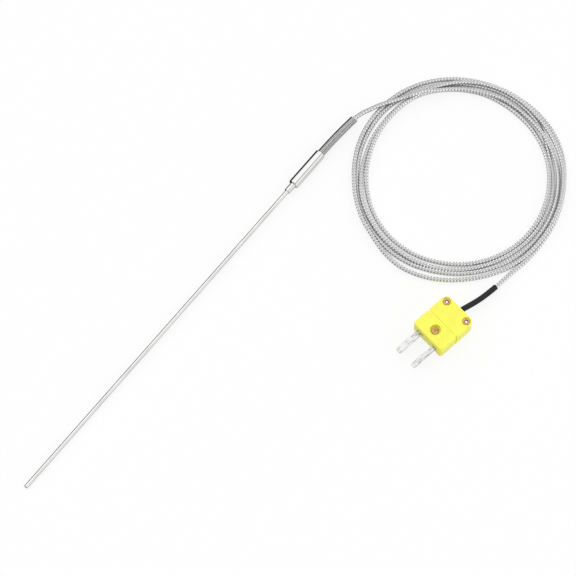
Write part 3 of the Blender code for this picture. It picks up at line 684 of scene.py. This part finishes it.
def evenly(line, spacing):
    """Points at equal steps along a line."""
    length = sum((b - a).length for a, b in zip(line, line[1:]))
    count = max(1, round(length / spacing))
    step = length / count
    spaced, walked = [line[0]], 0.0
    for a, b in zip(line, line[1:]):
        span = (b - a).length
        while walked + span >= step * len(spaced) and len(spaced) < count:
            spaced.append(a.lerp(b, (step * len(spaced) - walked) / span))
        walked += span
    return spaced + [line[-1]]


def cable_route():
    """The lead's whole centre line: through the spring, round the coil and into the plug."""
    inside = (LEAD_START, LEAD_GRIPPED)
    points = [PROBE_FRAME @ Vector((station * MM, 0.0, 0.0)) for station in inside]
    points += [spring_axis(SPRING_EXPOSED * share) for share in (0.0, 0.25, 0.5, 0.75, 1.0)]
    points += [Vector(point) * MM for point in LEAD_IN]
    for angle, radius, height in COIL_TURNS:
        turn = math.radians(angle)
        across = Vector((math.cos(turn), math.sin(turn), 0.0)) * radius * MM
        points.append(COIL_CENTRE + across + Vector((0.0, 0.0, height * MM)))
    points += [Vector(point) * MM for point in LEAD_OUT]
    points += [PLUG_FRAME @ Vector((station * MM, 0.0, PLUG_MIDDLE)) for station in PLUG_ENTRY]
    return evenly(smooth(points, ROUTE_STEPS), ROUTE_SPACING)


def path_object(name, points):
    """An object that is one open line through points."""
    mesh = bpy.data.meshes.new(name)
    mesh.from_pydata(points, [(i, i + 1) for i in range(len(points) - 1)], [])
    made = bpy.data.objects.new(name, mesh)
    bpy.context.scene.collection.objects.link(made)
    return made


def braid_tree(look):
    """A round tube along a line, with its length and its ring angle kept for the weave."""
    tree = bpy.data.node_groups.new("braided_lead", "GeometryNodeTree")
    face = tree.interface
    face.new_socket(name="Path", in_out="INPUT", socket_type="NodeSocketGeometry")
    radius = face.new_socket(name="Radius", in_out="INPUT", socket_type="NodeSocketFloat")
    face.new_socket(name="Lead", in_out="OUTPUT", socket_type="NodeSocketGeometry")
    given = add(tree, "NodeGroupInput", keep="node").outputs
    line = add(tree, "GeometryNodeMeshToCurve", {"Mesh": given["Path"]})
    line = add(tree, "GeometryNodeCaptureAttribute", {"Geometry": line}, keep="node")
    line.capture_items.new("FLOAT", "along")
    length = add(tree, "GeometryNodeSplineParameter", keep="Length")
    tree.links.new(length, line.inputs["along"])
    ring = add(
        tree, "GeometryNodeCurvePrimitiveCircle", {"Resolution": 16, "Radius": given["Radius"]},
        mode="RADIUS",
    )
    ring = add(tree, "GeometryNodeCaptureAttribute", {"Geometry": ring}, keep="node")
    ring.capture_items.new("VECTOR", "ring")
    place = add(tree, "GeometryNodeInputPosition")
    tree.links.new(place, ring.inputs["ring"])
    shape = add(
        tree, "GeometryNodeCurveToMesh",
        {
            "Curve": line.outputs["Geometry"], "Profile Curve": ring.outputs["Geometry"],
            "Fill Caps": True,
        },
    )
    kept = (("along", "FLOAT", line.outputs["along"]), ("ring", "FLOAT_VECTOR", ring.outputs["ring"]))
    for name, kind, value in kept:
        shape = add(
            tree, "GeometryNodeStoreNamedAttribute",
            {"Geometry": shape, "Name": name, "Value": value}, data_type=kind, domain="POINT",
        )
    shape = add(tree, "GeometryNodeSetShadeSmooth", {"Geometry": shape, "Shade Smooth": True})
    shape = add(tree, "GeometryNodeRealizeInstances", {"Geometry": shape})
    shape = add(tree, "GeometryNodeSetMaterial", {"Geometry": shape, "Material": look})
    add(tree, "NodeGroupOutput", {"Lead": shape})
    return tree, {"Radius": radius.identifier}


def wire_tree(look):
    """A round wire along a line."""
    tree = bpy.data.node_groups.new("wound_wire", "GeometryNodeTree")
    face = tree.interface
    face.new_socket(name="Path", in_out="INPUT", socket_type="NodeSocketGeometry")
    radius = face.new_socket(name="Radius", in_out="INPUT", socket_type="NodeSocketFloat")
    face.new_socket(name="Wire", in_out="OUTPUT", socket_type="NodeSocketGeometry")
    given = add(tree, "NodeGroupInput", keep="node").outputs
    curve = add(tree, "GeometryNodeMeshToCurve", {"Mesh": given["Path"]})
    ring = add(
        tree, "GeometryNodeCurvePrimitiveCircle", {"Resolution": 12, "Radius": given["Radius"]},
        mode="RADIUS",
    )
    shape = add(
        tree, "GeometryNodeCurveToMesh", {"Curve": curve, "Profile Curve": ring, "Fill Caps": True}
    )
    shape = add(tree, "GeometryNodeSetShadeSmooth", {"Geometry": shape, "Shade Smooth": True})
    shape = add(tree, "GeometryNodeRealizeInstances", {"Geometry": shape})
    shape = add(tree, "GeometryNodeSetMaterial", {"Geometry": shape, "Material": look})
    add(tree, "NodeGroupOutput", {"Wire": shape})
    return tree, {"Radius": radius.identifier}


def grown(name, points, tree, values):
    """Runs a node tree on a line and keeps the result as a plain mesh."""
    carrier = path_object(name + "_line", points)
    modifier = carrier.modifiers.new("grow", "NODES")
    modifier.node_group = tree
    for identifier, value in values.items():
        modifier[identifier] = value
    evaluated = carrier.evaluated_get(bpy.context.evaluated_depsgraph_get())
    mesh = bpy.data.meshes.new_from_object(evaluated)
    mesh.name = name
    made = bpy.data.objects.new(name, mesh)
    bpy.context.scene.collection.objects.link(made)
    bpy.data.objects.remove(carrier, do_unlink=True)
    if not mesh.polygons:
        raise RuntimeError(f"{name} came out empty")
    return made


class PROBE_OT_camera(bpy.types.Operator):
    """Places the camera as the photograph's was"""

    bl_idname = "probe.camera"
    bl_label = "Camera"

    def execute(self, context):
        flat = math.cos(CAMERA_RISE)
        back = Vector(
            (math.sin(CAMERA_TURN) * flat, -math.cos(CAMERA_TURN) * flat, math.sin(CAMERA_RISE))
        )
        data = bpy.data.cameras.new("camera")
        data.lens = SENSOR_WIDTH * CAMERA_DISTANCE / MM / MM_PER_PIXEL / PICTURE_WIDTH
        data.sensor_width = SENSOR_WIDTH
        data.clip_end = 20.0
        camera = bpy.data.objects.new("camera", data)
        camera.location = CAMERA_TARGET + back * CAMERA_DISTANCE
        camera.rotation_euler = back.to_track_quat("Z", "Y").to_euler()
        context.scene.collection.objects.link(camera)
        context.scene.camera = camera
        return {"FINISHED"}


class PROBE_OT_lead(bpy.types.Operator):
    """Makes the braided lead in one length, from the sleeve to the plug"""

    bl_idname = "probe.lead"
    bl_label = "Braided lead"

    def execute(self, context):
        sizes = context.scene.probe_sizes
        route = cable_route()
        tree, sockets = braid_tree(woven_braid(sizes.braid_lay, sizes.braid_carriers))
        lead = grown("braided_lead", route, tree, {sockets["Radius"]: sizes.cable_diameter / 2})
        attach(lead, "root")
        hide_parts("cable_lead_in", "cable_coil", "cable_lead_out")
        context.scene["probe_route"] = [value for point in route[::ROUTE_KEPT] for value in point]
        return {"FINISHED"}


class PROBE_OT_spring(bpy.types.Operator):
    """Winds the strain-relief spring"""

    bl_idname = "probe.spring"
    bl_label = "Strain-relief spring"

    def execute(self, context):
        sizes = context.scene.probe_sizes
        gripped, steps = 3.0 * MM, 24
        reach = gripped + SPRING_EXPOSED - sizes.spring_wire
        turns = int(reach / sizes.spring_pitch)
        radius = (sizes.spring_diameter - sizes.spring_wire) / 2
        points = []
        for index in range(turns * steps + 1):
            along = sizes.spring_wire / 2 + sizes.spring_pitch * index / steps - gripped
            angle = math.tau * index / steps
            across = Vector((0.0, radius * math.cos(angle), radius * math.sin(angle)))
            points.append(spring_axis(along) + PROBE_FRAME.to_3x3() @ across)
        tree, sockets = wire_tree(spring_steel())
        spring = grown("strain_spring", points, tree, {sockets["Radius"]: sizes.spring_wire / 2})
        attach(spring, "root")
        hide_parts("strain_relief_spring")
        return {"FINISHED"}


class PROBE_OT_steel(bpy.types.Operator):
    """Turns the sheath and the transition sleeve"""

    bl_idname = "probe.steel"
    bl_label = "Sheath and sleeve"

    def execute(self, context):
        colour = tuple(context.scene.probe_colours.steel)
        bore, wall, nose = 0.55, 0.4, 0.3
        outline = [(0.0, 0.0), *arc((nose, SHEATH_RADIUS - nose), nose, 180, 90, 8)]
        outline += [(SHEATH_END, SHEATH_RADIUS), (SHEATH_END, bore), (wall, bore), (wall, 0.0)]
        sheath = turned(
            "drawn_sheath", [(x * MM, y * MM) for x, y in outline], bright_drawn_steel(colour), PROBE_FRAME
        )
        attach(sheath, "root")
        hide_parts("sheath")
        neck, passage, pocket, floor, chamfer = 1.15, 0.8, 1.6, BODY_START + 1.4, 0.2
        outline = [
            (NECK_START, passage),
            *arc((NECK_START + chamfer, neck - chamfer), chamfer, 180, 90, 4),
            (BODY_START, neck),
            *arc((BODY_START + SHOULDER, SLEEVE_RADIUS - SHOULDER), SHOULDER, 180, 90, 10),
            *arc((SLEEVE_END - chamfer, SLEEVE_RADIUS - chamfer), chamfer, 90, 0, 4),
            (SLEEVE_END, pocket),
            (floor, pocket),
            (floor, passage),
        ]
        sleeve = turned(
            "turned_sleeve", [(x * MM, y * MM) for x, y in outline], turned_steel(colour), PROBE_FRAME, 96
        )
        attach(sleeve, "root")
        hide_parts("transition_sleeve")
        return {"FINISHED"}


class PROBE_OT_inside(bpy.types.Operator):
    """Gives the pieces inside their finishes"""

    bl_idname = "probe.inside"
    bl_label = "Inside pieces"

    def execute(self, context):
        oxide, resin, alloy, glass = packed_oxide(), cast_resin(), nickel_alloy(), glass_wrap()
        crimp = headed_metal("crimped_brass_sleeve", "#D9B36B", "#B98F4C", 0.35)
        looks = {
            "magnesia_core": oxide,
            "sleeve_potting": resin,
            "measuring_junction": alloy,
            "positive_wire": alloy,
            "negative_wire": alloy,
            "positive_splice": crimp,
            "negative_splice": crimp,
            "positive_lead": glass,
            "negative_lead": glass,
        }
        for name, look in looks.items():
            node = bpy.data.objects.get(name)
            if node is None:
                raise RuntimeError(f"no node {name}")
            node.data.materials.clear()
            node.data.materials.append(look)
        return {"FINISHED"}


class PROBE_OT_plug(bpy.types.Operator):
    """Finishes the plug: shells, pins, rivets and the shrink sleeve"""

    bl_idname = "probe.plug"
    bl_label = "Plug"

    def execute(self, context):
        colours = context.scene.probe_colours
        nylon = moulded_nylon(tuple(colours.nylon))
        plate = stamped_plate(tuple(colours.steel))
        copper = headed_metal("cold_headed_copper_brass", "#E3BC98", "#C08F68", 0.3)
        golden = headed_metal("cold_headed_yellow_brass", "#D2AC74", "#A37C48", 0.36)
        tin = headed_metal("bright_tinned_brass", "#FAF9F7", "#EDEBE6", 0.16)
        # Dark brown for the bore walls of the rear rivets: painted shade in the hollow.
        painted_bore_shade = headed_metal("rivet_bore_painted_shade", "#7C5436", "#5A3A24", 0.4)
        smoothed("plug_top", "upper_shell", nylon, SOFT_EDGE)
        smoothed("plug_base", "lower_shell", nylon, SOFT_EDGE)
        smoothed("wide_pin", "negative_pin", plate, SOFT_EDGE)
        smoothed("narrow_pin", "positive_pin", plate, SOFT_EDGE)
        smoothed("shrink_tube", "heat_shrink", shrink_sleeve(tuple(colours.shrink)))
        rivets = (
            ("front_rivet", (4.35, 0.0), 1.5, 1.4, golden),
            ("rear_rivet_left", (-6.4, -5.3), 0.8, 1.25, copper),
            ("rear_rivet_right", (-6.4, 5.3), 0.8, 1.25, copper),
        )
        shank, thick, edge, lip, sunk = 0.75, 0.4, 0.2, 0.15, 0.1
        mark, mark_depth = 0.35, 0.05
        dimple, floor, bore_wall = 0.62, 0.4, 0.12
        for name, place, depth, head, metal in rivets:
            low, high = depth - sunk, PLUG_THICKNESS - depth + sunk
            top = high + thick
            outline = [
                (low - thick, 0.0),
                *arc((low - thick + lip, head - lip), lip, 180, 90, 4),
                (low, head),
                (low, shank),
                (high, shank),
                (high, head),
                *arc((top - edge, head - edge), edge, 90, 0, 5),
            ]
            if metal == golden:
                outline += [(top, mark), (top - mark_depth, mark - mark_depth), (top - mark_depth, 0.0)]
            else:
                outline += [*arc((top - lip, dimple + lip), lip, 0, -90, 4)]
                outline += [(high + mark_depth, dimple), (high, floor), (high, 0.0)]
            outline = [(station * MM, radius * MM) for station, radius in outline]
            offset = Vector((*place, 0.0)) * MM
            piece = turned(name + "_turned", outline, metal, PLUG_FRAME, 48, True, offset)
            if metal == copper:
                piece.data.materials.append(tin)
                piece.data.materials.append(painted_bore_shade)
                middle = PLUG_FRAME @ offset
                # In each rear rivet's dimple the floor is bright tin and the wall gets the painted shade.
                for face in piece.data.polygons:
                    out = face.center - middle
                    if out.z > (high - sunk) * MM and out.xy.length < (dimple + bore_wall) * MM:
                        face.material_index = 1 if out.xy.length < floor * MM else 2
            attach(piece, "root")
            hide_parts(name)
        return {"FINISHED"}


class PROBE_OT_declare_lead(bpy.types.Operator):
    bl_idname = "probe.declare_lead"
    bl_label = "Declare the lead"

    def execute(self, context):
        return {"FINISHED"}


class PROBE_OT_stage(bpy.types.Operator):
    """Lays the floor and sets the studio light"""

    bl_idname = "probe.stage"
    bl_label = "Stage"

    def execute(self, context):
        mesh = bpy.data.meshes.new("stage_floor")
        ways = ((-1, -1), (1, -1), (1, 1), (-1, 1))
        corners = [(x * FLOOR_HALF, y * FLOOR_HALF, -FLOOR_DROP) for x, y in ways]
        mesh.from_pydata(corners, [], [(0, 1, 2, 3)])
        mesh.materials.append(white_table())
        floor = bpy.data.objects.new("stage_floor", mesh)
        context.scene.collection.objects.link(floor)
        world = bpy.data.worlds.new("soft_studio")
        world.use_nodes = True
        tree = world.node_tree
        tree.nodes.clear()
        # A long softbox overhead. It is dark low down on the far side and has one grey strip past its
        # middle, which polished steel mirrors as a dark edge and a thin line.
        toward = add(tree, "ShaderNodeTexCoord", keep="Generated")
        parts = add(tree, "ShaderNodeSeparateXYZ", {"Vector": toward}, keep="node").outputs
        rise = add(tree, "ShaderNodeMath", {0: parts["Z"], 1: parts["Y"]}, operation="ARCTAN2")
        turn = add(tree, "ShaderNodeMath", {0: rise, 1: math.pi}, operation="DIVIDE")
        stops = [(angle / 180.0, (level,) * 3) for angle, level in STUDIO]
        grey = add(tree, "ShaderNodeValToRGB", {"Fac": turn}, stops)
        # The end of the room that the pins point to is darker, so the plug's front lies in shade.
        shade = add(
            tree, "ShaderNodeMapRange",
            {"Value": parts["X"], "From Min": -0.95, "From Max": -0.5, "To Min": 0.04, "To Max": 1.0},
        )
        light = add(
            tree, "ShaderNodeMix", {"Factor": 1.0, "A": grey, "B": shade},
            data_type="RGBA", blend_type="MULTIPLY",
        )
        back = add(tree, "ShaderNodeBackground", {"Color": light, "Strength": STUDIO_STRENGTH})
        add(tree, "ShaderNodeOutputWorld", {"Surface": back})
        context.scene.world = world
        context.scene.view_settings.view_transform = "Standard"
        return {"FINISHED"}


class PROBE_PT_panel(bpy.types.Panel):
    """Lists the steps in the sidebar"""

    bl_idname = "PROBE_PT_panel"
    bl_label = "Thermocouple probe"
    bl_space_type = "VIEW_3D"
    bl_region_type = "UI"
    bl_category = "Probe"

    def draw(self, context):
        for step in STEPS:
            self.layout.operator(step.bl_idname)
        for group in (context.scene.probe_sizes, context.scene.probe_colours):
            for name in group.__annotations__:
                self.layout.prop(group, name)


STEPS = (
    PROBE_OT_camera,
    PROBE_OT_lead,
    PROBE_OT_spring,
    PROBE_OT_steel,
    PROBE_OT_inside,
    PROBE_OT_plug,
    PROBE_OT_declare_lead,
    PROBE_OT_stage,
)
CLASSES = (ProbeSizes, ProbeColours, *STEPS, PROBE_PT_panel)


def register():
    """Adds the classes and the scene's own properties."""
    for item in CLASSES:
        bpy.utils.register_class(item)
    bpy.types.Scene.probe_sizes = PointerProperty(type=ProbeSizes)
    bpy.types.Scene.probe_colours = PointerProperty(type=ProbeColours)


def unregister():
    """Takes the properties and the classes away again."""
    del bpy.types.Scene.probe_sizes
    del bpy.types.Scene.probe_colours
    for item in reversed(CLASSES):
        bpy.utils.unregister_class(item)


def main():
    """Runs every step."""
    register()
    for step in STEPS:
        group, name = step.bl_idname.split(".")
        getattr(getattr(bpy.ops, group), name)()


if __name__ == "__main__":
    main()
